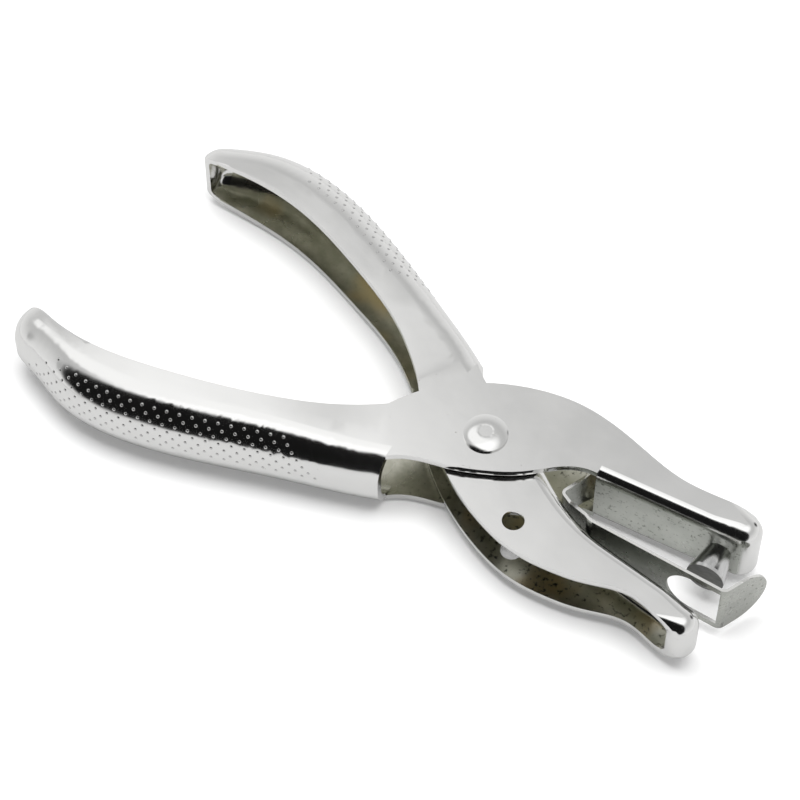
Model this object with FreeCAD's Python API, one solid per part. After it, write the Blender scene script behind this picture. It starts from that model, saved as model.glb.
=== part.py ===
"""Single-hole hand punch: two stamped channel handles, a pivot rivet, a punch pin and a strip spring.

Millimetres.  +Z is up, the punch lies on its side.  The pivot axis is the Z axis, the lower rivet
head rests on z = 0, and the jaws point to +X.  The outer handle is drawn where it lies; the inner
handle is drawn with the jaws shut and then swung open about the pivot.
"""
import math
import os

import FreeCAD, Part
from FreeCAD import Vector

# ---- overall sizes -------------------------------------------------------------------------
REACH = 40.8             # pivot to punch pin, along X
SHEET = 1.1              # thickness of both stampings
INNER_HEIGHT = 9.8       # inner handle at the pivot, over its cheeks
CHEEK_GAP = 0.3          # play between the inner and the outer cheeks, each side
OPEN_ANGLE = 12.0        # how far the jaws stand open at rest, degrees

# ---- handle shape --------------------------------------------------------------------------
WEB_LINE = 1.5           # outer jaw's flat web, Y of the face towards the other jaw
JAW_FOLD = 1.9           # outside bend radius of the jaws
OUTER_GRIP_FOLD = 4.8    # outside bend radius where the outer grip begins
INNER_GRIP_FOLD = 4.0    # outside bend radius where the inner grip begins
NOSE_RADIUS = 2.9        # plan radius of the rounded jaw noses
NOSE_FOLD = 2.6          # outside bend radius round the noses
NOSE_BLEND = 5.5         # length over which the jaw fold grows into the nose
OUTER_NOSE_PAST_PIN = 2.6
INNER_NOSE_PAST_PIN = 2.8

# ---- pivot rivet ---------------------------------------------------------------------------
RIVET_SHANK = 5.0        # diameter
RIVET_PLAY = 0.05        # radial clearance of the inner cheeks' holes on the shank
RIVET_LIP = 1.1          # how far a head stands out round the shank
RIVET_HEAD_HEIGHT = 0.9

# ---- punch pin and die ---------------------------------------------------------------------
PIN_FACE = 6.3           # diameter of the cutting end
PIN_NECK = 4.3           # diameter where it leaves the web
PIN_LENGTH = 5.4         # web to cutting end
PIN_SHANK = 3.0          # diameter through the web
PIN_TAIL = 5.2           # diameter of the riveted tail
PIN_TAIL_HEIGHT = 0.8
PIN_LAND = 0.6           # cylindrical length behind the cutting edge
DIE_CLEARANCE = 0.12     # radial, pin face in die
DIE_ENTRY = 1.0          # how far the pin enters the die with the jaws shut

# ---- holes for a ring or cord through the inner jaw ------------------------------------------
CORD_HOLE = 3.6
CORD_HOLE_X = 13.1
CORD_HOLE_Y = -9.1

# ---- strip spring --------------------------------------------------------------------------
STRIP = 0.5              # thickness
STRIP_GAP = 0.3          # slit at the two places where the strip flexes
LEG_SIDE_PLAY = 0.2      # between the leg's edges and the jaw's folds
ROOT_BEHIND_PIN = 4.8    # where the leg leaves the clamp, from the pin towards the pivot
CLAMP_PAST_PIN = 2.2
WINDOW_SIDE = 1.15       # play between pin and window, above and below
WINDOW_BACK = 1.85       # play towards the pivot
WINDOW_FRONT = 1.05      # play towards the tab
WINDOW_RIM = 1.2         # strip left above and below the window
TAB_BEND_FRONT = 2.32    # from the pin's edge to the tab's bend
TAB_LENGTH = 8.6
TAB_BEARING = 62.5       # the tab's direction in plan, degrees

# ---- sizes that follow ---------------------------------------------------------------------
OUTER_HEIGHT = INNER_HEIGHT + 2 * CHEEK_GAP + 2 * SHEET
OUTER_BOTTOM = RIVET_HEAD_HEIGHT
OUTER_TOP = OUTER_BOTTOM + OUTER_HEIGHT
INNER_BOTTOM = OUTER_BOTTOM + SHEET + CHEEK_GAP
INNER_TOP = INNER_BOTTOM + INNER_HEIGHT
MIDDLE = OUTER_BOTTOM + OUTER_HEIGHT / 2
RIVET_HEAD = RIVET_SHANK + 2 * RIVET_LIP
SHUT_LINE = WEB_LINE - PIN_LENGTH + DIE_ENTRY     # inner web's face with the jaws shut
WINDOW_HEIGHT = PIN_FACE + 2 * WINDOW_SIDE
WINDOW_START = REACH - PIN_FACE / 2 - WINDOW_BACK
WINDOW_STOP = REACH + PIN_FACE / 2 + WINDOW_FRONT
LEAF_WIDTH = WINDOW_HEIGHT + 2 * WINDOW_RIM
LEG_WIDTH = OUTER_HEIGHT - 2 * NOSE_FOLD - 2 * LEG_SIDE_PLAY

UP = Vector(0, 0, 1)
PIVOT = Vector(0, 0, 0)
BEYOND = 60.0            # long enough to cut clear of everything
RUN_ON = 10.0            # straight run of a web past its end before it is trimmed
PAST_RIM = 1.2           # how far a hollow runs out past the rim
DOC = FreeCAD.newDocument("punch")


# ---- drawing helpers -----------------------------------------------------------------------
def point(x, y, z=0.0):
    return Vector(x, y, z)


def along_jaw(points):
    """Outline points of a jaw, whose X is given as a share of the reach."""
    return [point(REACH * share, y) for share, y in points]


def heading(bearing):
    """Unit vector in plan, degrees from +X."""
    angle = math.radians(bearing)
    return point(math.cos(angle), math.sin(angle))


def opened(spot):
    """A point of the shut inner handle, where it lies with the jaws open."""
    angle = -math.radians(OPEN_ANGLE)
    x = spot.x * math.cos(angle) - spot.y * math.sin(angle)
    y = spot.x * math.sin(angle) + spot.y * math.cos(angle)
    return point(x, y)


def curve(points, start=None, end=None):
    """Smooth edge through the points, with optional end directions."""
    spline = Part.BSplineCurve()
    if start is None:
        spline.interpolate(Points=points)
    else:
        spline.interpolate(Points=points, InitialTangent=start, FinalTangent=end)
    return spline.toShape()


def inset_curve(points, start, end, inset):
    """The smooth edge through the points, moved to its left by the inset."""
    edge = curve(points, start, end)
    if inset == 0:
        return edge
    moved = []
    for spot in points:
        along = edge.tangentAt(edge.Curve.parameter(spot))
        moved.append(spot + UP.cross(along) * inset)
    return curve(moved, start, end)


def arc(centre, radius, start, middle, end):
    """Arc in plan through three bearings given in degrees."""
    spots = [centre + heading(bearing) * radius for bearing in (start, middle, end)]
    return Part.Arc(*spots).toShape()


def polygon(points):
    """Closed straight-sided outline."""
    spots = points + points[:1]
    return [Part.makeLine(one, two) for one, two in zip(spots[:-1], spots[1:])]


def plate(outline, bottom, thickness):
    """Flat sheet with the given closed plan outline."""
    sheet = Part.Face(Part.Wire(outline)).extrude(UP * thickness)
    sheet.translate(UP * bottom)
    return sheet


def upright_hole(x, y, diameter):
    """Tool for a hole through both cheeks."""
    return Part.makeCylinder(diameter / 2, BEYOND, point(x, y, -BEYOND / 2), UP)


def jaw_hole(diameter, web_line):
    """Tool for a hole through a web at the punching radius, along Y."""
    start = point(REACH, web_line - 2 * SHEET, MIDDLE)
    return Part.makeCylinder(diameter / 2, 4 * SHEET, start, Vector(0, 1, 0))


# ---- sheet channels ------------------------------------------------------------------------
def rounded_block(path, folds, outward, bottom, top):
    """Solid between two levels whose web side follows the path, rounded along it.

    The path's last end runs straight on past the nose and the block is closed well outside the
    rim.  folds gives the bend radius at the two ends of every path edge.
    """
    first_end = path[0].valueAt(path[0].FirstParameter)
    last_end = path[-1].valueAt(path[-1].LastParameter)
    lead_in = first_end - path[0].tangentAt(path[0].FirstParameter) * RUN_ON
    lead_out = last_end + path[-1].tangentAt(path[-1].LastParameter) * RUN_ON
    corners = [last_end, lead_out, lead_out + outward * BEYOND]
    corners += [lead_in + outward * BEYOND, lead_in, first_end]
    closing = [Part.makeLine(one, two) for one, two in zip(corners[:-1], corners[1:])]
    block = plate(path + closing, bottom, top - bottom)
    source = DOC.addObject("Part::Feature", "block")
    source.Shape = block
    rounded = DOC.addObject("Part::Fillet", "rounded")
    rounded.Base = source
    chosen = []
    for edge, (first, last) in zip(path, folds):
        spot = edge.valueAt((edge.FirstParameter + edge.LastParameter) / 2)
        for level in (bottom, top):
            target = Part.Vertex(spot + UP * level)
            distances = [target.distToShape(side)[0] for side in block.Edges]
            chosen.append((distances.index(min(distances)) + 1, first, last))
    rounded.Edges = chosen
    DOC.recompute()
    return rounded.Shape.copy()


def path_folds(grip_fold, inset):
    """Bend radii at both ends of each edge of a handle's path: lead, waist, web, blend, nose."""
    grip = grip_fold - inset
    jaw = JAW_FOLD - inset
    nose = NOSE_FOLD - inset
    return [(grip, grip), (grip, jaw), (jaw, jaw), (jaw, nose), (nose, nose)]


def channel(path_of, grip_fold, rim_points, outward, bottom, top):
    """Sheet channel from the grip's start to the nose: a web, two cheeks, open along the rim."""
    outside = rounded_block(path_of(0), path_folds(grip_fold, 0), outward, bottom, top)
    hollow_folds = path_folds(grip_fold, SHEET)
    hollow = rounded_block(path_of(SHEET), hollow_folds, outward, bottom + SHEET, top - SHEET)
    lead, *web_side = path_of(0)
    grip_start = lead.valueAt(lead.LastParameter)
    nose_end = web_side[-1].valueAt(web_side[-1].LastParameter)
    rim = curve([nose_end] + rim_points)
    closing = Part.makeLine(rim_points[-1], grip_start)
    outline = plate(web_side + [rim, closing], bottom, top - bottom)
    return outside.cut(hollow).common(outline)


def jaw_edges(waist, turn, nose_centre, inset):
    """Path edges of a handle: straight lead, waist, flat web, blend and nose.

    turn is +1 when the web lies below the nose's centre in plan and -1 when it lies above.
    """
    radius = NOSE_RADIUS - inset
    waist_start = waist.valueAt(waist.FirstParameter)
    web_start = waist.valueAt(waist.LastParameter)
    lead = Part.makeLine(waist_start - waist.tangentAt(waist.FirstParameter) * RUN_ON, waist_start)
    nose_start = nose_centre - point(0, turn * radius)
    blend_start = nose_start - point(NOSE_BLEND, 0)
    web = Part.makeLine(web_start, blend_start)
    blend = Part.makeLine(blend_start, nose_start)
    nose = arc(nose_centre, radius, -90 * turn, -15 * turn, 60 * turn)
    return [lead, waist, web, blend, nose]


def cheek_pair(body, notch, edge_points, inside_points, bottom, top):
    """Cuts the notch out of web and folds, then gives both cheeks their own flat edge there."""
    tool = plate(polygon(notch), bottom - SHEET, top - bottom + 2 * SHEET)
    body = body.cut(tool)
    edge = curve(edge_points)
    back = [edge_points[-1]] + inside_points + [edge_points[0]]
    sides = [Part.makeLine(one, two) for one, two in zip(back[:-1], back[1:])]
    for level in (bottom, top - SHEET):
        body = body.fuse(plate([edge] + sides, level, SHEET))
    return body.removeSplitter()


# ---- grips -----------------------------------------------------------------------------------
def u_section(web, rim, half, fold, inset=0.0, past_rim=0.0):
    """Closed U across a grip, in the upright plane through a web point and a rim point."""
    across = (rim - web).normalize()
    near = web + across * inset + UP * MIDDLE
    far = rim + across * past_rim + UP * MIDDLE
    bend = fold - inset
    slant = bend * math.sqrt(0.5)
    high = UP * (half - inset)
    side = UP * (half - fold)
    arc_middle = across * (bend - slant)
    arc_height = side + UP * slant
    spots = [far + high, near + across * bend + high, near + arc_middle + arc_height, near + side]
    spots += [near - side, near + arc_middle - arc_height, near + across * bend - high, far - high]
    return Part.Wire([
        Part.makeLine(spots[0], spots[1]),
        Part.Arc(spots[1], spots[2], spots[3]).toShape(),
        Part.makeLine(spots[3], spots[4]),
        Part.Arc(spots[4], spots[5], spots[6]).toShape(),
        Part.makeLine(spots[6], spots[7]),
        Part.makeLine(spots[7], spots[0]),
    ])


def smooth_loft(sections):
    """Solid through the sections, with cubic surfaces."""
    solid, ruled, closed, degree = True, False, False, 3
    return Part.makeLoft(sections, solid, ruled, closed, degree)


def grip(start_web, start_rim, start_half, start_fold, stations):
    """Hollow swelling grip from the channel's end to its rounded tail.

    Each station gives a web point, a rim point, how much half the height grows over the start's
    and the outside bend radius.
    """
    rings = [(start_web, start_rim, start_half, start_fold)]
    for web, rim, swell, fold in stations:
        rings.append((point(*web), point(*rim), start_half + swell, fold))
    outside = [u_section(*ring) for ring in rings]
    web, rim, half, fold = rings[-1]
    inward = (rings[-2][0] - web + rings[-2][1] - rim).normalize() * SHEET
    inner_rings = rings[:-1] + [(web + inward, rim + inward, half, fold)]
    hollow = [u_section(*ring, SHEET, PAST_RIM) for ring in inner_rings]
    return smooth_loft(outside).cut(smooth_loft(hollow))


# ---- outer handle ----------------------------------------------------------------------------
OUTER_WAIST_BEARING = 16
OUTER_GRIP_WEB = point(-13.0, -14.3)
OUTER_GRIP_RIM = OUTER_GRIP_WEB + heading(OUTER_WAIST_BEARING + 90) * 12.6
OUTER_RIM = along_jaw([
    (0.956, 6.9), (0.772, 7.1), (0.539, 9.9), (0.270, 12.4), (0.025, 11.1), (-0.262, 4.9),
])
OUTER_STATIONS = [
    ((-20.0, -16.4), (-23.0, -6.0), 0.1, 5.3),
    ((-40.0, -21.5), (-39.0, -11.6), 0.6, 6.4),
    ((-56.0, -24.3), (-55.0, -14.5), 0.6, 6.4),
    ((-66.0, -23.4), (-65.0, -14.9), 0.2, 6.0),
    ((-72.5, -20.6), (-71.5, -13.8), -0.4, 5.3),
    ((-77.2, -18.5), (-75.7, -12.4), -0.9, 4.5),
    ((-79.4, -15.8), (-78.2, -12.3), -1.8, 3.3),
]


def outer_path(inset):
    """Web side of the outer handle from the grip's start to the jaw's nose."""
    waist_points = [OUTER_GRIP_WEB] + along_jaw([(0.0735, -7.0), (0.463, WEB_LINE)])
    waist = inset_curve(waist_points, heading(OUTER_WAIST_BEARING), heading(0), inset)
    nose_centre = point(REACH + OUTER_NOSE_PAST_PIN, WEB_LINE + NOSE_RADIUS)
    return jaw_edges(waist, 1, nose_centre, inset)


def outer_notch(body):
    """Opens the web and folds where the inner handle passes through the outer one."""
    web_end = 0.463 * REACH
    notch_start = -12.0
    notch = [
        point(notch_start, -30), point(web_end, -30), point(web_end, WEB_LINE + 3.7),
        point(notch_start, -7.5),
    ]
    edge = [point(notch_start, -11.3), point(-9.8, -9.9), point(-6.6, -8.9), point(-3.3, -8.3)]
    edge += along_jaw([(0.074, -6.3), (0.208, -3.5), (0.353, 0.8)])
    edge += [point(web_end, WEB_LINE + 0.3)]
    inside = [point(web_end, WEB_LINE + 6.0), point(notch_start, -4.5)]
    return cheek_pair(body, notch, edge, inside, OUTER_BOTTOM, OUTER_TOP)


def make_outer_handle():
    """Outer stamping: lower-left grip, cheeks outside, and the jaw that carries the pin."""
    rim = OUTER_RIM + [OUTER_GRIP_RIM]
    body = channel(outer_path, OUTER_GRIP_FOLD, rim, point(0, 1), OUTER_BOTTOM, OUTER_TOP)
    start = (OUTER_GRIP_WEB, OUTER_GRIP_RIM, OUTER_HEIGHT / 2, OUTER_GRIP_FOLD)
    body = body.fuse(grip(*start, OUTER_STATIONS)).removeSplitter()
    body = outer_notch(body)
    body = body.cut(upright_hole(0, 0, RIVET_SHANK))
    return body.cut(jaw_hole(PIN_SHANK, WEB_LINE))


# ---- inner handle, jaws shut ------------------------------------------------------------------
INNER_WAIST_BEARING = -22
INNER_GRIP_WEB = point(-11.0, 12.6)
INNER_GRIP_RIM = INNER_GRIP_WEB + heading(INNER_WAIST_BEARING - 90) * 11.9
INNER_SHOULDER = point(10.5, 2.2)
INNER_RIM = along_jaw([
    (0.975, -8.0), (0.858, -7.7), (0.694, -10.4), (0.554, -12.3), (0.380, -13.3), (0.206, -12.3),
    (-0.039, -8.6),
])
INNER_STATIONS = [
    ((-18.0, 15.4), (-20.5, 5.3), 0.1, 4.0),
    ((-28.0, 19.0), (-30.0, 9.9), 0.9, 5.1),
    ((-42.0, 23.4), (-42.5, 13.3), 1.7, 6.1),
    ((-55.0, 25.4), (-55.0, 15.3), 1.8, 6.2),
    ((-64.0, 24.3), (-64.0, 15.0), 1.5, 5.9),
    ((-70.0, 21.5), (-69.3, 14.3), 1.0, 5.2),
    ((-73.6, 19.0), (-72.6, 13.9), 0.3, 4.0),
    ((-75.0, 16.9), (-74.2, 14.0), -0.6, 2.8),
]


def inner_path(inset):
    """Web side of the inner handle from the grip's start to the jaw's nose, jaws shut."""
    waist_points = [INNER_GRIP_WEB, INNER_SHOULDER] + along_jaw([(0.662, SHUT_LINE)])
    waist = inset_curve(waist_points, heading(INNER_WAIST_BEARING), heading(0), -inset)
    nose_centre = point(REACH + INNER_NOSE_PAST_PIN, SHUT_LINE - NOSE_RADIUS)
    return jaw_edges(waist, -1, nose_centre, inset)


def inner_notch(body):
    """Opens the web and folds between the outer handle's cheeks, round the pivot."""
    start, stop = -10.5, INNER_SHOULDER.x
    notch = [point(start, 40), point(start, 8.0), point(stop, -1.0), point(stop, 40)]
    edge = [
        point(start, 10.6), point(-8.8, 9.6), point(-6.5, 8.4), point(0, 6.9), point(6.0, 4.6),
        INNER_SHOULDER - point(0, 0.1),
    ]
    inside = [point(stop, -3.0), point(start, 6.0)]
    return cheek_pair(body, notch, edge, inside, INNER_BOTTOM, INNER_TOP)


def make_inner_handle():
    """Inner stamping: upper-right grip, cheeks inside, and the jaw that carries the die."""
    rim = INNER_RIM + [INNER_GRIP_RIM]
    body = channel(inner_path, INNER_GRIP_FOLD, rim, point(0, -1), INNER_BOTTOM, INNER_TOP)
    start = (INNER_GRIP_WEB, INNER_GRIP_RIM, INNER_HEIGHT / 2, INNER_GRIP_FOLD)
    body = body.fuse(grip(*start, INNER_STATIONS)).removeSplitter()
    body = inner_notch(body)
    body = body.cut(upright_hole(0, 0, RIVET_SHANK + 2 * RIVET_PLAY))
    body = body.cut(upright_hole(CORD_HOLE_X, CORD_HOLE_Y, CORD_HOLE))
    body = body.cut(jaw_hole(PIN_FACE + 2 * DIE_CLEARANCE, SHUT_LINE - SHEET))
    body.rotate(PIVOT, UP, -OPEN_ANGLE)
    return body


# ---- rivet and pin -----------------------------------------------------------------------------
def domed_head(radius, height):
    """Low round head: flat underneath, a short rim, a shallow dome and a small flat crown."""
    rim_height = 0.4 * height
    crown_radius = 0.3 * radius
    shoulder = Vector(0.72 * radius, 0, rim_height + 0.72 * (height - rim_height))
    rim_top = Vector(radius, 0, rim_height)
    crown = Vector(crown_radius, 0, height)
    sides = [
        Part.makeLine(PIVOT, Vector(radius, 0, 0)),
        Part.makeLine(Vector(radius, 0, 0), rim_top),
        Part.Arc(rim_top, shoulder, crown).toShape(),
        Part.makeLine(crown, Vector(0, 0, height)),
        Part.makeLine(Vector(0, 0, height), PIVOT),
    ]
    return Part.Face(Part.Wire(sides)).revolve(PIVOT, UP, 360)


def make_pivot_rivet():
    """Shank through all four cheeks with a domed head at each end."""
    shank = Part.makeCylinder(RIVET_SHANK / 2, OUTER_HEIGHT, point(0, 0, OUTER_BOTTOM), UP)
    upper = domed_head(RIVET_HEAD / 2, RIVET_HEAD_HEIGHT)
    upper.translate(UP * OUTER_TOP)
    lower = domed_head(RIVET_HEAD / 2, RIVET_HEAD_HEIGHT)
    lower.rotate(PIVOT, Vector(1, 0, 0), 180)
    lower.translate(UP * OUTER_BOTTOM)
    return shank.fuse([upper, lower]).removeSplitter()


def make_punch_pin():
    """Turned pin: cutting land, taper up to the neck, shank through the web, riveted tail."""
    clamp_face = WEB_LINE + SHEET + STRIP
    tail_end = clamp_face + PIN_TAIL_HEIGHT
    profile = [
        (0, WEB_LINE - PIN_LENGTH),
        (PIN_FACE / 2, WEB_LINE - PIN_LENGTH),
        (PIN_FACE / 2, WEB_LINE - PIN_LENGTH + PIN_LAND),
        (PIN_NECK / 2, WEB_LINE),
        (PIN_SHANK / 2, WEB_LINE),
        (PIN_SHANK / 2, clamp_face),
        (PIN_TAIL / 2, clamp_face),
        (0.35 * PIN_TAIL, tail_end),
        (0, tail_end),
    ]
    spots = [point(REACH + radius, along, MIDDLE) for radius, along in profile]
    face = Part.Face(Part.Wire(polygon(spots)))
    return face.revolve(point(REACH, 0, MIDDLE), Vector(0, 1, 0), 360)


# ---- strip spring ------------------------------------------------------------------------------
LEG_ROOT = point(REACH - ROOT_BEHIND_PIN, WEB_LINE + SHEET + STRIP_GAP + STRIP / 2)
LEG_CORNER = point(18.0, WEB_LINE + 2.8)
LEAF_HEEL = point(14.9, -2.3)
LEAF_BEND = opened(point(0.5466 * REACH, SHUT_LINE + 1.4))
LEAF_END = opened(point(REACH + PIN_FACE / 2 + TAB_BEND_FRONT, SHUT_LINE + 4.56))
LEAF_BENDS = [0.8, 2.5, 1.2]      # bend radii at the heel, the leaf's bend and the tab


def rounded_line(spots, bends):
    """Edges of a straight-sided line whose inner corners are rounded by the given radii."""
    edges = []
    here = spots[0]
    for index, radius in enumerate(bends, start=1):
        corner = spots[index]
        before = (spots[index - 1] - corner).normalize()
        after = (spots[index + 1] - corner).normalize()
        half = before.getAngle(after) / 2
        reach = radius / math.tan(half)
        middle_line = (before + after).normalize()
        centre = corner + middle_line * (radius / math.sin(half))
        start = corner + before * reach
        stop = corner + after * reach
        edges.append(Part.makeLine(here, start))
        edges.append(Part.Arc(start, centre - middle_line * radius, stop).toShape())
        here = stop
    edges.append(Part.makeLine(here, spots[-1]))
    return edges


def side_line(spots, shift):
    """The corner points of a line moved sideways to its left."""
    moved = []
    last = len(spots) - 1
    for index, spot in enumerate(spots):
        behind = max(index, 1)
        ahead = min(index + 1, last)
        before = (spots[behind] - spots[behind - 1]).normalize()
        after = (spots[ahead] - spots[ahead - 1]).normalize()
        together = UP.cross(before) + UP.cross(after)
        moved.append(spot + together * (2 * shift / together.dot(together)))
    return moved


def ribbon(spots, bends, width):
    """Bent strip standing on edge; the end at the first point is rounded about that point."""
    half = STRIP / 2
    sides = []
    for shift in (half, -half):
        radii = []
        for index, bend in enumerate(bends, start=1):
            turn = (spots[index] - spots[index - 1]).cross(spots[index + 1] - spots[index]).z
            radii.append(bend - shift if turn > 0 else bend + shift)
        sides.append(rounded_line(side_line(spots, shift), radii))
    left, right = sides
    along = (spots[1] - spots[0]).normalize()
    first_left = left[0].valueAt(left[0].FirstParameter)
    first_right = right[0].valueAt(right[0].FirstParameter)
    last_left = left[-1].valueAt(left[-1].LastParameter)
    last_right = right[-1].valueAt(right[-1].LastParameter)
    cap = Part.Arc(first_left, spots[0] - along * half, first_right).toShape()
    edges = left + [cap] + right + [Part.makeLine(last_left, last_right)]
    return plate(Part.__sortEdges__(edges), MIDDLE - width / 2, width)


def make_spring_clamp():
    """The end of the strip that the pin's riveted tail holds against the outer jaw's web."""
    start = LEG_ROOT.x + STRIP / 2 + STRIP_GAP
    length = REACH + CLAMP_PAST_PIN - start
    corner = point(start, WEB_LINE + SHEET, MIDDLE - LEG_WIDTH / 2)
    clamp = Part.makeBox(length, STRIP, LEG_WIDTH, corner)
    return clamp.cut(jaw_hole(PIN_SHANK, WEB_LINE + SHEET))


def make_spring_leg():
    """The part of the strip that lies in the outer jaw, from the clamp back to the corner."""
    along = (LEG_CORNER - LEG_ROOT).normalize()
    tip = LEG_CORNER - along * (STRIP / 2 + STRIP_GAP)
    return ribbon([LEG_ROOT, tip], [], LEG_WIDTH)


def make_stripper_leaf():
    """The part of the strip between the jaws: wall, heel, leaf with its window, and tab."""
    tab_end = LEAF_END + heading(TAB_BEARING) * TAB_LENGTH
    spots = [LEG_CORNER, LEAF_HEEL, LEAF_BEND, LEAF_END, tab_end]
    leaf = ribbon(spots, LEAF_BENDS, LEAF_WIDTH)
    for side in (1, -1):
        leaf = leaf.cut(heel_trim(side))
    return leaf.cut(window_tool()).common(tab_outline())


def heel_trim(side):
    """Narrows one edge of the strip from the leaf's width to the leg's width round the heel."""
    slope_start = LEAF_BEND.x - 1.0
    slope_end = LEAF_HEEL.x + 2.0
    clear_of_heel = slope_end - 10
    leg_edge = MIDDLE + side * LEG_WIDTH / 2
    leaf_edge = MIDDLE + side * LEAF_WIDTH / 2
    outside = MIDDLE + side * LEAF_WIDTH
    outline = [
        point(clear_of_heel, -10, leg_edge), point(slope_end, -10, leg_edge),
        point(slope_start, -10, leaf_edge), point(slope_start, -10, outside),
        point(clear_of_heel, -10, outside),
    ]
    return Part.Face(Part.Wire(polygon(outline))).extrude(point(0, 20))


def window_tool():
    """D-shaped window for the pin: half round towards the pivot, straight at the tab."""
    radius = WINDOW_HEIGHT / 2
    depth = 6.0
    front = LEAF_END.y - depth / 2
    round_centre = point(WINDOW_START + radius, front, MIDDLE)
    round_end = Part.makeCylinder(radius, depth, round_centre, Vector(0, 1, 0))
    corner = round_centre - point(0, 0, radius)
    straight = Part.makeBox(WINDOW_STOP - round_centre.x, depth, WINDOW_HEIGHT, corner)
    return round_end.fuse(straight)


def tab_outline():
    """Keeps everything but the corners of the tab, whose end is a half circle."""
    across_strip = heading(TAB_BEARING - 90)
    radius = LEAF_WIDTH / 2
    centre = LEAF_END + heading(TAB_BEARING) * (TAB_LENGTH - radius)
    depth = 8.0
    start = centre + UP * MIDDLE - across_strip * (depth / 2)
    round_end = Part.makeCylinder(radius, depth, start, across_strip)
    before_end = Part.makeBox(2 * BEYOND, BEYOND, BEYOND, point(-BEYOND, -BEYOND, -BEYOND / 2))
    before_end.rotate(PIVOT, UP, TAB_BEARING - 90)
    before_end.translate(centre)
    return round_end.fuse(before_end)


PARTS = {
    "outer_handle": make_outer_handle,
    "inner_handle": make_inner_handle,
    "pivot_rivet": make_pivot_rivet,
    "punch_pin": make_punch_pin,
    "spring_clamp": make_spring_clamp,
    "spring_leg": make_spring_leg,
    "stripper_leaf": make_stripper_leaf,
}


def main():
    """Builds every node, checks that it is one sound solid and writes its STEP file."""
    os.makedirs("parts", exist_ok=True)
    for name, make in PARTS.items():
        shape = make()
        if not shape.isValid() or len(shape.Solids) != 1:
            raise RuntimeError(f"{name} is not one sound solid")
        shape.Solids[0].exportStep(f"parts/{name}.step")
        print(name, round(shape.Volume, 1), shape.BoundBox)


main()
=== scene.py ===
"""Studio view of the plated hand punch: finishes, grip dimples, floor, light and camera."""

import bmesh
import bpy
import math
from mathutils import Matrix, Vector
from mathutils.bvhtree import BVHTree


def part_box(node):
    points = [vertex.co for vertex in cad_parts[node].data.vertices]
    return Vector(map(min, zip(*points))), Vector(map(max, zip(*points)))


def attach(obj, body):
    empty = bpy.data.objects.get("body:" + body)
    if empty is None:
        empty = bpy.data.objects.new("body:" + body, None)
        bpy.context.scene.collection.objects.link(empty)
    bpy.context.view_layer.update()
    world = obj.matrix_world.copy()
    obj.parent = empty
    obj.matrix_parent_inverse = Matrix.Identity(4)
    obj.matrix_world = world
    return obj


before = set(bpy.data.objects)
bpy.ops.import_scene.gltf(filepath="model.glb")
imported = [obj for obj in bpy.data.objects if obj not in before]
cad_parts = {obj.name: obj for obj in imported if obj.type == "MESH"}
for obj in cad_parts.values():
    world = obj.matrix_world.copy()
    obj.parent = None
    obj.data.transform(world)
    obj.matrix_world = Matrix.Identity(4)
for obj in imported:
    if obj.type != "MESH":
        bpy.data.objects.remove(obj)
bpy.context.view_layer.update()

MM = 0.001
UP = Vector((0, 0, 1))

# ---- places on the punch, in metres; X runs from the tails to the noses, Z is up -----------------
OUTER_LOW, OUTER_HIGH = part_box("outer_handle")
INNER_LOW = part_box("inner_handle")[0]
MIDDLE = (OUTER_LOW[2] + OUTER_HIGH[2]) / 2     # height of the plane that halves both channels
GRIP_HALF = (OUTER_HIGH[2] - OUTER_LOW[2]) / 2  # from there to the widest part of the grips
OUTER_JAW_HALF = 6.3 * MM                       # from there to the outer jaw's cheek
INNER_JAW_HALF = 4.9 * MM                       # from there to the inner jaw's cheek
SHEET = 1.1 * MM
GRIP_START = -8 * MM                            # the grips lie on this side of the pivot
WAIST = (-12 * MM, 2 * MM)                      # where a grip turns into a jaw
NOSE_LENGTH = 6.6 * MM                          # the closed front of a jaw
TAIL_LENGTH = 3 * MM                            # the closed end of a grip
BEFORE_JAW = (12 * MM, 15 * MM)                 # where the flat part of a jaw's web begins
GRIP_WALL = 1.9 * SHEET                         # cheek and fold that frame a grip's inner web
JAW_WALL = 1.3 * SHEET                          # the same in a jaw

# ---- how a face is told from its neighbours: the values where a finish starts and is full --------
CHEEK_INSIDE = (-3.1 * MM, -3.7 * MM)   # distance from the middle plane, below zero if facing it
TO_THE_RIM = (0.35, 0.65)               # how far a web's face turns to the channel's open side
SQUARE_ON = (0.90, 0.97)                # a flat web, as against the folds beside it
PIN_END = (-0.9, -0.97)                 # the pin's cutting face looks along -Y
EDGE_HIGHLIGHT_FACING = (0.45, 0.75)                 # the strip's upper and lower edges look along Z and get a painted highlight

# ---- colours: red, green, blue and opacity -------------------------------------------------------
PLATE_GREY = (0.80, 0.80, 0.79, 1)
PLATE_CLEAR = (0.86, 0.857, 0.845, 1)
PIT = (0.45, 0.44, 0.41, 1)
# the jaw web's grey pair: darker than the plate, painted shade for the shadowed floor it mirrors
WORN_SHADED_DARK = (0.46, 0.48, 0.44, 1)
WORN_SHADED_PALE = (0.66, 0.67, 0.63, 1)
SCUFF = (0.20, 0.21, 0.18, 1)
TARNISH_DARK = (0.42, 0.42, 0.34, 1)
TARNISH_PALE = (0.62, 0.61, 0.53, 1)
GOLDEN_STAIN = (0.60, 0.50, 0.30, 1)
DIRT = (0.10, 0.10, 0.08, 1)
PIN_DARK = (0.50, 0.50, 0.50, 1)
PIN_PALE = (0.76, 0.76, 0.75, 1)
PIN_END_DARK = (0.12, 0.12, 0.12, 1)
PIN_END_PALE = (0.30, 0.30, 0.29, 1)
STRIP_DARK = (0.36, 0.37, 0.34, 1)
STRIP_PALE = (0.60, 0.61, 0.57, 1)
STRIP_SPECK = (0.16, 0.16, 0.13, 1)
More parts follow.
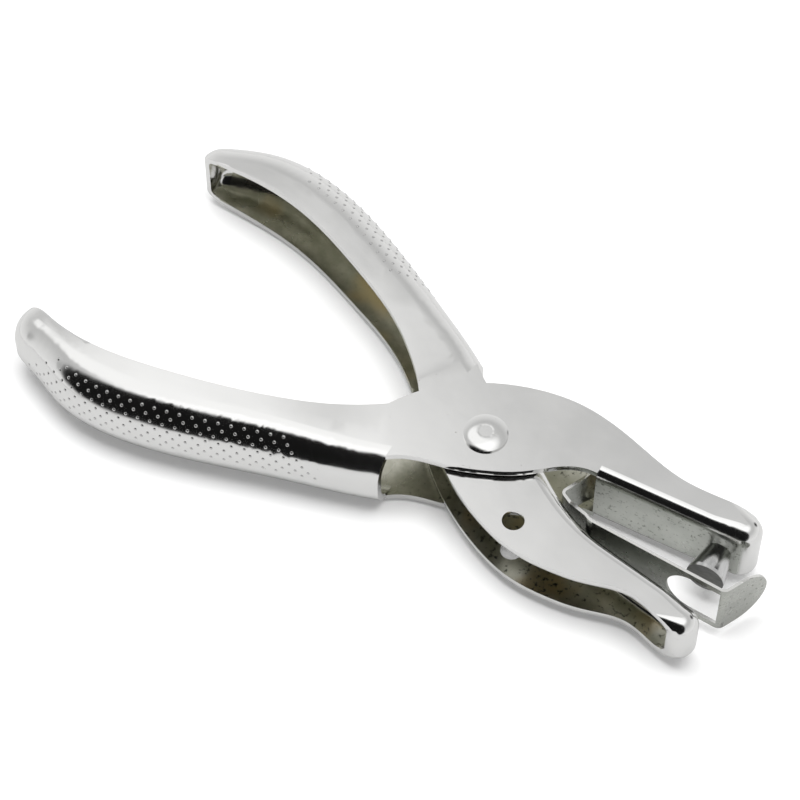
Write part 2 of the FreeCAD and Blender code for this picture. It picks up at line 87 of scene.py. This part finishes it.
# painted highlight, nearly white, on the strip's upper and lower edges
STRIP_EDGE_HIGHLIGHT = (0.82, 0.82, 0.80, 1)
FLOOR_DARK = (0.88, 0.88, 0.88, 1)
FLOOR_PALE = (0.9, 0.9, 0.9, 1)
FLOOR_MIRRORED = (0.52, 0.52, 0.52, 1)
WHITE = (1, 1, 1, 1)


def toned(colour, shade_tone):
    """The colour made darker by a factor below one, which paints shade into it, with its opacity kept.
    """
    red, green, blue, opacity = colour
    return (red * shade_tone, green * shade_tone, blue * shade_tone, opacity)


# ---- shader helpers ------------------------------------------------------------------------------
MIX_FIRST = 6       # the colour sockets of a Mix node: two inputs and one output
MIX_SECOND = 7
MIX_RESULT = 2


class Graph:
    """A material's node tree with short calls for the nodes used here."""

    def __init__(self, name):
        self.material = bpy.data.materials.new(name)
        self.material.use_nodes = True
        self.tree = self.material.node_tree
        self.shader = self.tree.nodes["Principled BSDF"]
        self.place = self.tree.nodes.new("ShaderNodeTexCoord")

    def node(self, kind, inputs=None, **settings):
        """A new node with its settings, and with a number, colour or link on each named input."""
        made = self.tree.nodes.new("ShaderNode" + kind)
        for key, value in settings.items():
            setattr(made, key, value)
        for key, value in (inputs or {}).items():
            self.feed(made.inputs[key], value)
        return made

    def feed(self, socket, value):
        if isinstance(value, bpy.types.NodeSocket):
            self.tree.links.new(value, socket)
        else:
            socket.default_value = value

    def math(self, operation, one, two=0.0):
        return self.node("Math", {0: one, 1: two}, operation=operation).outputs[0]

    def parts(self, output):
        """X, Y and Z of one of the object's own coordinates, such as Object or Normal."""
        return self.node("SeparateXYZ", {0: self.place.outputs[output]}).outputs

    def position(self, stretch):
        """Object position in millimetres, stretched per axis."""
        made = self.node("Mapping", {"Vector": self.place.outputs["Object"]})
        made.inputs["Scale"].default_value = [part / MM for part in stretch]
        return made.outputs[0]

    def noise(self, size, detail=3.0, stretch=(1, 1, 1)):
        """Noise between 0 and 1 whose lumps are about size millimetres wide."""
        inputs = {"Vector": self.position(stretch), "Scale": 1 / size, "Detail": detail,
                  "Roughness": 0.55}
        return self.node("TexNoise", inputs).outputs["Fac"]

    def spread(self, value, low, high, to_low=0.0, to_high=1.0, smooth=False):
        """Maps low to to_low and high to to_high, and holds both ends."""
        kind = "SMOOTHSTEP" if smooth else "LINEAR"
        inputs = {"Value": value, "From Min": low, "From Max": high, "To Min": to_low,
                  "To Max": to_high}
        return self.node("MapRange", inputs, interpolation_type=kind).outputs["Result"]

    def flecks(self, size, detail, start, full, smooth=False):
        """1 in the peaks of a noise above full, 0 below start."""
        return self.spread(self.noise(size, detail), start, full, smooth=smooth)

    def blend(self, share, one, two):
        """The first colour where share is 0 and the second where it is 1."""
        inputs = {"Factor": share, MIX_FIRST: one, MIX_SECOND: two}
        return self.node("Mix", inputs, data_type="RGBA").outputs[MIX_RESULT]

    def bump(self, height, strength, distance, under=None):
        """A surface normal tilted by a height, on top of the normal of a bump under it."""
        inputs = {"Height": height, "Strength": strength, "Distance": distance}
        if under is not None:
            inputs["Normal"] = under
        return self.node("Bump", inputs).outputs[0]

    def metal(self, colour, roughness, normal):
        inputs = {"Base Color": colour, "Metallic": 1.0, "Roughness": roughness, "Normal": normal}
        for name, value in inputs.items():
            self.feed(self.shader.inputs[name], value)
        return self.material


# ---- finishes ------------------------------------------------------------------------------------
GRIP_DIRT = 0.12        # share of the jaw's dirt that a grip's inside has
INSIDE_DULLER = 0.16    # roughness that worn and stained faces have above the outside's
PIN_END_DULLER = 0.15


def inside_share(graph, side):
    """1 on a channel's inner faces, 0 outside and on the rims; side is the rim's direction in Y."""
    spot = graph.parts("Object")
    facing = graph.parts("Normal")
    height = graph.math("SUBTRACT", spot[2], MIDDLE)
    inward = graph.math("MULTIPLY", height, facing[2])
    cheeks = graph.spread(inward, *CHEEK_INSIDE)
    to_rim = graph.spread(graph.math("MULTIPLY", facing[1], side), *TO_THE_RIM)
    jaw_half = OUTER_JAW_HALF if side > 0 else INNER_JAW_HALF
    hollow_half = graph.spread(spot[0], *WAIST, GRIP_HALF - GRIP_WALL, jaw_half - JAW_WALL)
    hollow = graph.math("LESS_THAN", graph.math("ABSOLUTE", height), hollow_half)
    before_nose = graph.math("LESS_THAN", spot[0], OUTER_HIGH[0] - NOSE_LENGTH)
    after_tail = graph.math("GREATER_THAN", spot[0], INNER_LOW[0] + TAIL_LENGTH)
    between_ends = graph.math("MULTIPLY", before_nose, after_tail)
    web = graph.math("MULTIPLY", graph.math("MULTIPLY", to_rim, hollow), between_ends)
    return graph.math("MAXIMUM", cheeks, web)


def jaw_web_share(graph, side):
    """1 on the flat face that a jaw's web turns to the other jaw, which wears duller and is painted
    darker as painted shade.
    """
    spot = graph.parts("Object")
    facing = graph.parts("Normal")
    on_jaw = graph.spread(spot[0], *BEFORE_JAW)
    outward = graph.spread(graph.math("MULTIPLY", facing[1], -side), *SQUARE_ON)
    return graph.math("MULTIPLY", on_jaw, outward)


def worn_and_shaded_web(graph):
    """Colour of a jaw's web: real small scuffs on a clouded grey darker than the plate, painted shade
    for the shadowed floor the web mirrors.
    """
    scuffs = graph.flecks(size=0.6, detail=5.0, start=0.58, full=0.70)
    shaded_cloudy = graph.blend(graph.noise(size=3.0, detail=4.0), WORN_SHADED_DARK, WORN_SHADED_PALE)
    return graph.blend(scuffs, shaded_cloudy, SCUFF)


def stained_inside(graph):
    """Colour of a channel's inside: olive patches, golden stains, and dirt that gathers in the jaw."""
    patches = graph.flecks(size=3.5, detail=5.0, start=0.35, full=0.7)
    tarnish = graph.blend(patches, TARNISH_DARK, TARNISH_PALE)
    warm = graph.flecks(size=14.0, detail=2.0, start=0.58, full=0.72, smooth=True)
    golden = graph.blend(warm, tarnish, GOLDEN_STAIN)
    in_jaw = graph.spread(graph.parts("Object")[0], *WAIST, to_low=GRIP_DIRT)
    specks = graph.flecks(size=0.8, detail=6.0, start=0.57, full=0.68)
    return graph.blend(graph.math("MULTIPLY", specks, in_jaw), golden, DIRT)


def nickel(name, side=0, shade_tone=1.0):
    """Bright nickel plate with pits and faint smears; a handle has a side, a jaw web with real scuffs
    and painted shade, and an inside; a shade factor below one darkens the whole plate as painted shade.
    """
    graph = Graph(name)
    smear = graph.noise(size=9.0, detail=4.0)
    pits = graph.flecks(size=0.6, detail=2.0, start=0.74, full=0.81, smooth=True)
    # a shade factor below one darkens the plate as painted shade; only the dimples use one
    clean = graph.blend(smear, toned(PLATE_GREY, shade_tone), toned(PLATE_CLEAR, shade_tone))
    plated = graph.blend(pits, clean, PIT)
    roughness = graph.spread(smear, 0.3, 0.75, to_low=0.10, to_high=0.18)
    if side:
        # the web that faces the other jaw: real scuffs on a grey darkened as painted shade
        worn_and_shaded = jaw_web_share(graph, side)
        plated = graph.blend(worn_and_shaded, plated, worn_and_shaded_web(graph))
        inner = inside_share(graph, side)
        plated = graph.blend(inner, plated, stained_inside(graph))
        dull = graph.math("MULTIPLY", graph.math("MAXIMUM", inner, worn_and_shaded), INSIDE_DULLER)
        roughness = graph.math("ADD", roughness, dull)
    ripples = graph.bump(graph.noise(size=6.0, detail=2.0), strength=0.05, distance=0.2 * MM)
    grain = graph.bump(graph.noise(size=0.5), strength=0.06, distance=0.02 * MM, under=ripples)
    return graph.metal(plated, roughness, grain)


def turned_steel(name):
    """Ground pin: faint streaks along its side and a darker brushed cutting face."""
    graph = Graph(name)
    streaks = graph.noise(size=0.45, stretch=(1, 0.05, 1))
    side = graph.blend(streaks, PIN_DARK, PIN_PALE)
    end = graph.spread(graph.parts("Normal")[1], *PIN_END)
    brushing = graph.noise(size=0.35, stretch=(0.2, 1, 1))
    brushed = graph.blend(brushing, PIN_END_DARK, PIN_END_PALE)
    shade = graph.blend(end, side, brushed)
    wear = graph.noise(size=1.5, detail=4.0)
    polish = graph.spread(wear, 0.3, 0.7, to_low=0.14, to_high=0.22)
    roughness = graph.math("ADD", polish, graph.math("MULTIPLY", end, PIN_END_DULLER))
    grooves = graph.bump(streaks, strength=0.06, distance=0.03 * MM)
    return graph.metal(shade, roughness, grooves)


def spring_strip(name):
    """Rolled, plated strip: grey faces with rolling lines and dark specks, and a painted highlight on
    its upper and lower edges.
    """
    graph = Graph(name)
    lines = graph.noise(size=0.5, stretch=(0.1, 0.1, 1))
    cloud = graph.noise(size=3.0, detail=4.0)
    specks = graph.flecks(size=0.5, detail=2.0, start=0.62, full=0.74)
    base = graph.blend(cloud, STRIP_DARK, STRIP_PALE)
    spotted = graph.blend(specks, base, STRIP_SPECK)
    upright = graph.math("ABSOLUTE", graph.parts("Normal")[2])
    # painted highlight on the faces that look up or down
    edge_highlight = graph.spread(upright, *EDGE_HIGHLIGHT_FACING)
    highlighted_edges = graph.blend(edge_highlight, spotted, STRIP_EDGE_HIGHLIGHT)
    roughness = graph.spread(cloud, 0.3, 0.7, to_low=0.18, to_high=0.32)
    grooves = graph.bump(lines, strength=0.10, distance=0.02 * MM)
    return graph.metal(highlighted_edges, roughness, grooves)


# ---- edges of the CAD nodes ----------------------------------------------------------------------
HANDLE_EDGE = 0.14 * MM             # width of the broken edges of a stamping
STRIP_EDGE_WIDTH = 0.07 * MM
JOIN_DISTANCE = 0.0005 * MM         # corners closer than this are one corner
SHARP_ANGLE = math.radians(50)


def even_out_grip(piece):
    """Smooths the shading of a handle's curved grip, and leaves its flat cheeks as they are."""
    curved = [vertex.index for vertex in piece.data.vertices if vertex.co.x < GRIP_START]
    if not curved:
        return
    group = piece.vertex_groups.new(name="grip")
    group.add(curved, 1.0, "REPLACE")
    even = piece.modifiers.new("even_shading", "WEIGHTED_NORMAL")
    even.vertex_group = group.name
    even.keep_sharp = False


def break_edges(piece, width):
    """Puts a narrow rounding on every sharp edge, so that it catches the light."""
    weld = piece.modifiers.new("join_faces", "WELD")
    weld.merge_threshold = JOIN_DISTANCE
    bevel = piece.modifiers.new("broken_edges", "BEVEL")
    bevel.width = width
    bevel.segments = 2
    bevel.limit_method = "ANGLE"
    bevel.angle_limit = SHARP_ANGLE
    bevel.use_clamp_overlap = True
    bevel.miter_outer = "MITER_ARC"
    bevel.harden_normals = True
    even_out_grip(piece)


def finish_node(name, material, edge=0.0):
    """Gives a CAD node its finish and, if edge is above zero, breaks its sharp edges."""
    piece = bpy.data.objects[name]
    piece.data.materials.clear()
    piece.data.materials.append(material)
    if edge:
        break_edges(piece, edge)


# ---- grip dimples --------------------------------------------------------------------------------
DIMPLE_RADIUS = 0.34 * MM
DIMPLE_HEIGHT = 0.14 * MM
DIMPLE_SINK = 0.04 * MM         # how deep a dimple's foot sits in the plate
DIMPLE_RINGS = 3
DIMPLE_CORNERS = 10
DIMPLE_PITCH = 2.1 * MM         # along the grip
LOWEST_ROW = 0                  # rows are counted from the middle of the grip's back
OUTER_TOP_ROW = 6
INNER_TOP_ROW = 8
DIMPLE_TURN = math.radians(10)  # from one row to the next, round the grip's section
ROW_TRIM = 0.5                  # columns by which each higher row is shorter at both ends
GRIP_CORE = 6.2 * MM            # from the back of a grip to the middle of its rounding
WELL_OUTSIDE = 30 * MM          # a search for the plate starts this far out
NEAR_OUTSIDE = 15 * MM
FACING_ENOUGH = 0.5             # least cosine between a row's direction and the plate's normal

OUTER_DIMPLES_START = Vector((OUTER_LOW[0] + 5 * MM, -20 * MM, 0))
OUTER_DIMPLES_STOP = Vector((-20 * MM, -20 * MM, 0))
OUTER_DIMPLES_FACE = Vector((0, -1, 0))
INNER_DIMPLES_START = Vector((-56, 38.5, 0)) * MM
INNER_DIMPLES_STOP = Vector((-21, 19.1, 0)) * MM
INNER_DIMPLES_FACE = Vector((0.485, 0.875, 0))


def dimple_ring(mesh, spot, turn, ring):
    """The corners of one ring of a dome; the last ring is its single top corner."""
    share = ring / DIMPLE_RINGS
    height = DIMPLE_HEIGHT * (1 - (1 - share) ** 2) - DIMPLE_SINK
    if ring == DIMPLE_RINGS:
        return [mesh.verts.new(spot + turn @ Vector((0, 0, height)))]
    radius = DIMPLE_RADIUS * (1 - share)
    loop = []
    for step in range(DIMPLE_CORNERS):
        angle = 2 * math.pi * step / DIMPLE_CORNERS
        offset = Vector((radius * math.cos(angle), radius * math.sin(angle), height))
        loop.append(mesh.verts.new(spot + turn @ offset))
    return loop


def dimple(mesh, spot, normal):
    """One low dome on the surface, pressed out of the sheet."""
    turn = normal.to_track_quat("Z", "Y").to_matrix()
    loops = [dimple_ring(mesh, spot, turn, ring) for ring in range(DIMPLE_RINGS + 1)]
    for low, high in zip(loops[:-1], loops[1:]):
        for step in range(DIMPLE_CORNERS):
            after = (step + 1) % DIMPLE_CORNERS
            if len(high) == 1:
                mesh.faces.new([low[step], low[after], high[0]])
            else:
                mesh.faces.new([low[step], low[after], high[after], high[step]])
    mesh.faces.new(list(reversed(loops[0])))


def surface(name):
    """Search tree over a CAD node's surface."""
    mesh = bpy.data.objects[name].data
    corners = [tuple(vertex.co) for vertex in mesh.vertices]
    faces = [tuple(face.vertices) for face in mesh.polygons]
    return BVHTree.FromPolygons(corners, faces)


def dimple_rows(tree, start, stop, outward, top_row):
    """Domes in staggered rows on the back of a grip, between two plan points."""
    mesh = bmesh.new()
    line = stop - start
    columns = int(line.length / DIMPLE_PITCH)
    along = line.normalized()
    for column in range(columns + 1):
        for row in range(LOWEST_ROW, top_row + 1):
            if abs(column - columns / 2) > columns / 2 - abs(row) * ROW_TRIM:
                continue
            step = column + (0.5 if row % 2 else 0.0)
            base = start + along * (step * DIMPLE_PITCH)
            base.z = MIDDLE
            back = tree.ray_cast(base + outward * WELL_OUTSIDE, -outward)[0]
            if back is None:
                continue
            centre = back - outward * GRIP_CORE
            angle = row * DIMPLE_TURN
            ray = outward * math.cos(angle) + UP * math.sin(angle)
            spot, normal = tree.ray_cast(centre + ray * NEAR_OUTSIDE, -ray)[:2]
            if spot is None or normal.dot(ray) < FACING_ENOUGH:
                continue
            dimple(mesh, spot, normal)
    return mesh


def grip_dimples(name, body, mesh, material):
    """Makes the domes one piece that rides on its handle."""
    data = bpy.data.meshes.new(name)
    mesh.to_mesh(data)
    mesh.free()
    for face in data.polygons:
        face.use_smooth = True
    piece = bpy.data.objects.new(name, data)
    bpy.context.collection.objects.link(piece)
    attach(piece, body)
    data.materials.append(material)


# ---- room, floor, light and camera ---------------------------------------------------------------
ROOM_LEVELS = [
    # height of the direction, from 0 at the horizon to 1 straight up, and brightness there
    (0.0, 0.9),
    (0.45, 0.75),
    (0.72, 0.56),
    (0.84, 0.60),
    (0.96, 1.25),
]
ROOM_PATCHES = [
    # bearing, elevation, radius, softness in degrees and brightness
    (-80, 36, 38, 4, 0.008),    # unlit room behind the camera
    (-108, 37, 36, 5, 0.008),   # unlit room beside the camera
    (62, 22, 9, 4, 0.008),      # doorway opposite
    (150, 62, 17.5, 3.5, 1.1),  # window that the lower grip's flat side mirrors
]
FLOOR_SIZE = 6.0
FLOOR_GLOW = 0.13
FLOOR_ROUGHNESS = 0.9
LAMP_WIDTH = 0.9
LAMP_DEPTH = 0.5
LAMP_POWER = 7.5
LAMP_PLACE = (0, 0.05, 0.9)
CAMERA_TARGET = Vector((-17.66, 3.90, 6.0)) * MM
CAMERA_BEARING = -61.5
CAMERA_ELEVATION = 55
CAMERA_DISTANCE = 450 * MM
LENS = 123.5
SENSOR_WIDTH = 36


def direction(bearing, elevation):
    """Unit vector from a bearing in plan and a height above the horizon, in degrees."""
    flat = math.cos(math.radians(elevation))
    turn = math.radians(bearing)
    rise = math.sin(math.radians(elevation))
    return Vector((flat * math.cos(turn), flat * math.sin(turn), rise))


def grey(level):
    return (level, level, level, 1)


def mix_colours(tree, share, one, two):
    """A Mix node in the world's tree: link, link, then a plain colour."""
    made = tree.nodes.new("ShaderNodeMix")
    made.data_type = "RGBA"
    tree.links.new(share, made.inputs["Factor"])
    tree.links.new(one, made.inputs[MIX_FIRST])
    made.inputs[MIX_SECOND].default_value = two
    return made.outputs[MIX_RESULT]


def room_walls(tree, place):
    """Brightness of the room's walls and roof by height."""
    parts = tree.nodes.new("ShaderNodeSeparateXYZ")
    tree.links.new(place.outputs["Generated"], parts.inputs[0])
    ramp = tree.nodes.new("ShaderNodeValToRGB")
    tree.links.new(parts.outputs["Z"], ramp.inputs[0])
    stops = ramp.color_ramp.elements
    while len(stops) < len(ROOM_LEVELS):
        stops.new(0.5)
    for stop, (height, level) in zip(stops, ROOM_LEVELS):
        stop.position = height
        stop.color = grey(level)
    return ramp.outputs[0]


def patch_share(tree, place, bearing, elevation, radius, softness):
    """1 towards the middle of a round patch of the room, 0 away from it."""
    facing = tree.nodes.new("ShaderNodeVectorMath")
    facing.operation = "DOT_PRODUCT"
    facing.inputs[1].default_value = direction(bearing, elevation)
    tree.links.new(place.outputs["Generated"], facing.inputs[0])
    mask = tree.nodes.new("ShaderNodeMapRange")
    mask.interpolation_type = "SMOOTHSTEP"
    mask.inputs["From Min"].default_value = math.cos(math.radians(radius + softness))
    mask.inputs["From Max"].default_value = math.cos(math.radians(radius - softness))
    tree.links.new(facing.outputs["Value"], mask.inputs["Value"])
    return mask.outputs["Result"]


def studio_world():
    """White tent: pale walls, a brighter roof, and the dark and bright patches the metal mirrors."""
    world = bpy.data.worlds.new("studio")
    bpy.context.scene.world = world
    world.use_nodes = True
    tree = world.node_tree
    place = tree.nodes.new("ShaderNodeTexCoord")
    shade = room_walls(tree, place)
    for bearing, elevation, radius, softness, brightness in ROOM_PATCHES:
        share = patch_share(tree, place, bearing, elevation, radius, softness)
        shade = mix_colours(tree, share, shade, grey(brightness))
    eye = tree.nodes.new("ShaderNodeLightPath")
    seen = mix_colours(tree, eye.outputs["Is Camera Ray"], shade, WHITE)
    tree.links.new(seen, tree.nodes["Background"].inputs[0])


def add_floor():
    """White paper floor, which the metal mirrors as a light grey."""
    bpy.ops.mesh.primitive_plane_add(size=FLOOR_SIZE)
    floor = bpy.context.object
    floor.name = "floor"
    graph = Graph("floor_paper")
    paper = graph.blend(graph.noise(size=60.0, detail=2.0), FLOOR_DARK, FLOOR_PALE)
    seen = graph.node("LightPath").outputs["Is Camera Ray"]
    graph.feed(graph.shader.inputs["Base Color"], graph.blend(seen, FLOOR_MIRRORED, paper))
    graph.feed(graph.shader.inputs["Roughness"], FLOOR_ROUGHNESS)
    graph.feed(graph.shader.inputs["Emission Color"], WHITE)
    graph.feed(graph.shader.inputs["Emission Strength"], FLOOR_GLOW)
    floor.data.materials.append(graph.material)


def add_lamp():
    """Wide soft lamp overhead, which lights the floor and is kept out of the metal's reflections."""
    data = bpy.data.lights.new("overhead", "AREA")
    data.shape = "RECTANGLE"
    data.size = LAMP_WIDTH
    data.size_y = LAMP_DEPTH
    data.energy = LAMP_POWER
    lamp = bpy.data.objects.new("overhead", data)
    lamp.location = LAMP_PLACE
    lamp.visible_glossy = False
    bpy.context.collection.objects.link(lamp)


def add_camera():
    """Camera above the front right, looking down at the punch as it lies on its side."""
    offset = direction(CAMERA_BEARING, CAMERA_ELEVATION)
    data = bpy.data.cameras.new("camera")
    data.sensor_width = SENSOR_WIDTH
    data.lens = LENS
    camera = bpy.data.objects.new("camera", data)
    camera.location = CAMERA_TARGET + offset * CAMERA_DISTANCE
    camera.rotation_euler = (-offset).to_track_quat("-Z", "Y").to_euler()
    bpy.context.collection.objects.link(camera)
    bpy.context.scene.camera = camera


def finish_nodes(plain):
    """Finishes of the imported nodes."""
    strip = spring_strip("spring_strip")
    finish_node("outer_handle", nickel("nickel_outer", side=1), HANDLE_EDGE)
    finish_node("inner_handle", nickel("nickel_inner", side=-1), HANDLE_EDGE)
    finish_node("pivot_rivet", plain)
    finish_node("punch_pin", turned_steel("ground_pin"))
    for name in ("spring_clamp", "spring_leg", "stripper_leaf"):
        finish_node(name, strip, STRIP_EDGE_WIDTH)


def add_dimples():
    """The pressed-out dimples on both grips."""
    # the dimples' nickel is darkened to 0.72 of the plate as painted shade
    pressed = nickel("nickel_dimples_painted_shade", shade_tone=0.72)
    lower = dimple_rows(surface("outer_handle"), OUTER_DIMPLES_START, OUTER_DIMPLES_STOP,
                        OUTER_DIMPLES_FACE, OUTER_TOP_ROW)
    grip_dimples("outer_grip_dimples", "outer", lower, pressed)
    upper = dimple_rows(surface("inner_handle"), INNER_DIMPLES_START, INNER_DIMPLES_STOP,
                        INNER_DIMPLES_FACE, INNER_TOP_ROW)
    grip_dimples("inner_grip_dimples", "inner", upper, pressed)


def main():
    finish_nodes(nickel("nickel_rivet"))
    add_dimples()
    add_floor()
    studio_world()
    add_lamp()
    add_camera()
    bpy.context.scene.view_settings.view_transform = "Standard"


main()
